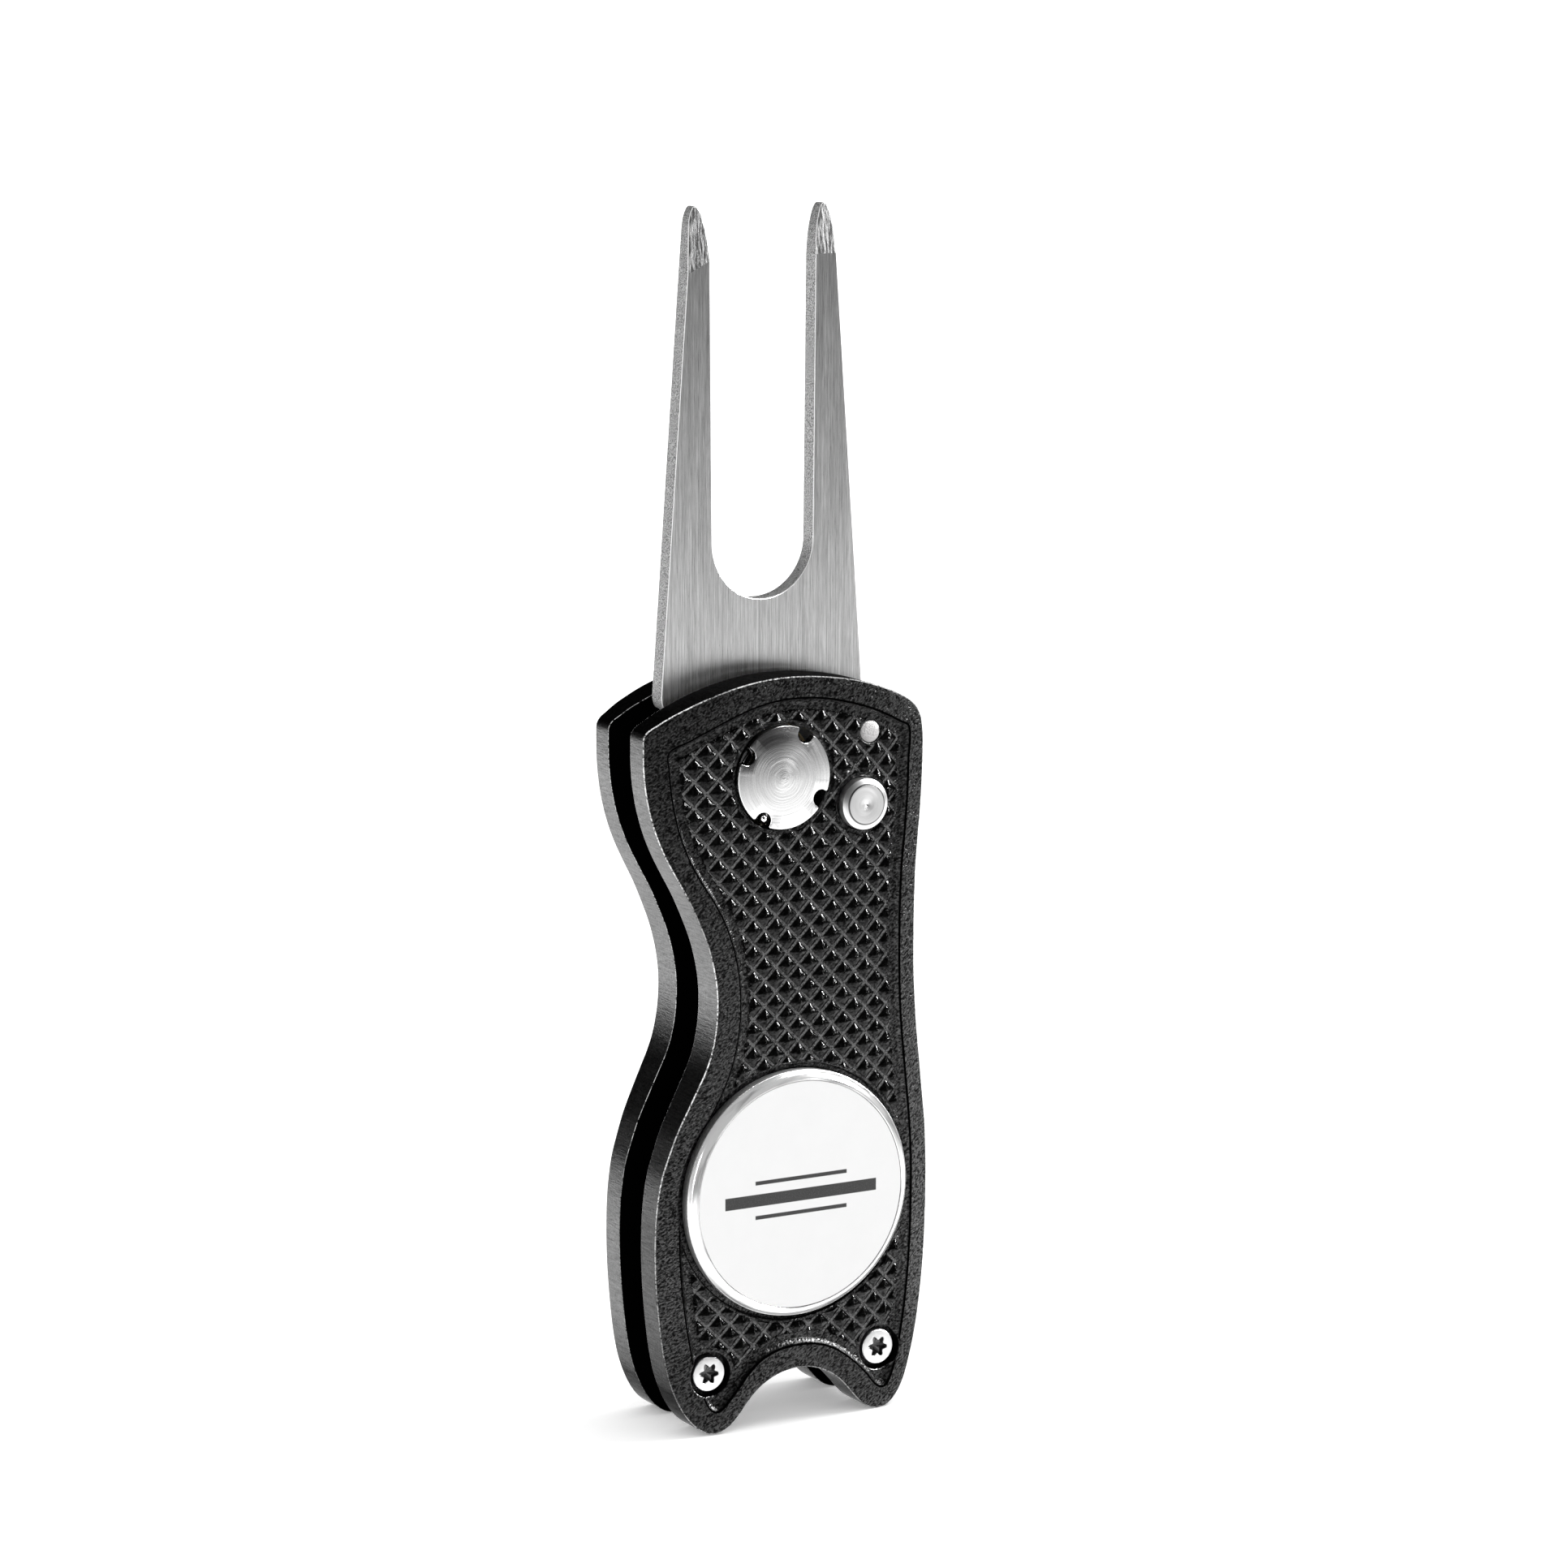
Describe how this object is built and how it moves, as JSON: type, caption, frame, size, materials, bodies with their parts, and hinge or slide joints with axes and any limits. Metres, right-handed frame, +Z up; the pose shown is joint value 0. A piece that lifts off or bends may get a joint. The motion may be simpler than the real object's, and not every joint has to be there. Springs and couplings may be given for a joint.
{
  "type": "folding divot repair tool",
  "caption": "Pocket divot repair tool: spring-opened folding two-prong fork with lock button, checkered handle and removable magnetic ball marker.",
  "frame": {"origin": "bottom centre of the bounding box, where the open tool stands on the two feet of its handle", "axes": "+Z up the handle towards the open fork's tips, -Y out of the front face that holds the ball marker, +X towards the spine side"},
  "size_m": [0.032, 0.0134, 0.1211],
  "materials": {
    "black_casting": "satin black coated casting with a fine orange-peel grain",
    "black_plastic": "moulded black nylon",
    "fork_steel": "brushed along the prongs, ground tips",
    "turned_steel": "bright turned with concentric tool marks",
    "screw_steel": "bright matt plated",
    "spring_steel": "bright drawn wire",
    "washer_bronze": "plain bronze sheet",
    "marker_chrome": "polished plated rim",
    "marker_enamel": "gloss white enamel with a plain grey alignment line",
    "magnet_nickel": "nickel plated"
  },
  "bodies": {
    "handle": {"front_scale": "black_casting", "back_scale": "black_casting", "spine_spacer": "black_plastic", "spine_dowel": "screw_steel", "pivot_cap": "turned_steel", "pivot_barrel": "turned_steel", "pivot_bolt": "turned_steel", "washer_front": "washer_bronze", "washer_back": "washer_bronze", "torsion_spring": "spring_steel", "button_spring": "spring_steel", "stop_pin": "screw_steel", "marker_magnet": "magnet_nickel", "screw_front_left": "screw_steel", "screw_front_right": "screw_steel", "screw_back_left": "screw_steel", "screw_back_right": "screw_steel", "standoff_left": "screw_steel", "standoff_right": "screw_steel"},
    "fork": {"fork": "fork_steel"},
    "button": {"lock_button": "turned_steel"},
    "marker": {"marker_body": "marker_chrome", "marker_inlay": "marker_enamel"}
  },
  "joints": [
    {"name": "fork_pivot", "type": "hinge", "parent": "handle", "child": "fork", "pos_m": [-0.00105, 0.00034, 0.0656], "axis": [0, -1, 0], "range_deg": [0, 180], "deforming": ["torsion_spring"]},
    {"name": "button_press", "type": "slide", "parent": "handle", "child": "button", "axis": [0, 1, 0], "range_m": [0, 0.0012], "stiffness_N_per_m": 1500, "springref_m": -0.0008, "deforming": ["button_spring"]},
    {"name": "marker_lift", "type": "slide", "parent": "handle", "child": "marker", "axis": [0, -1, 0], "range_m": [0, 0.03]}
  ]
}
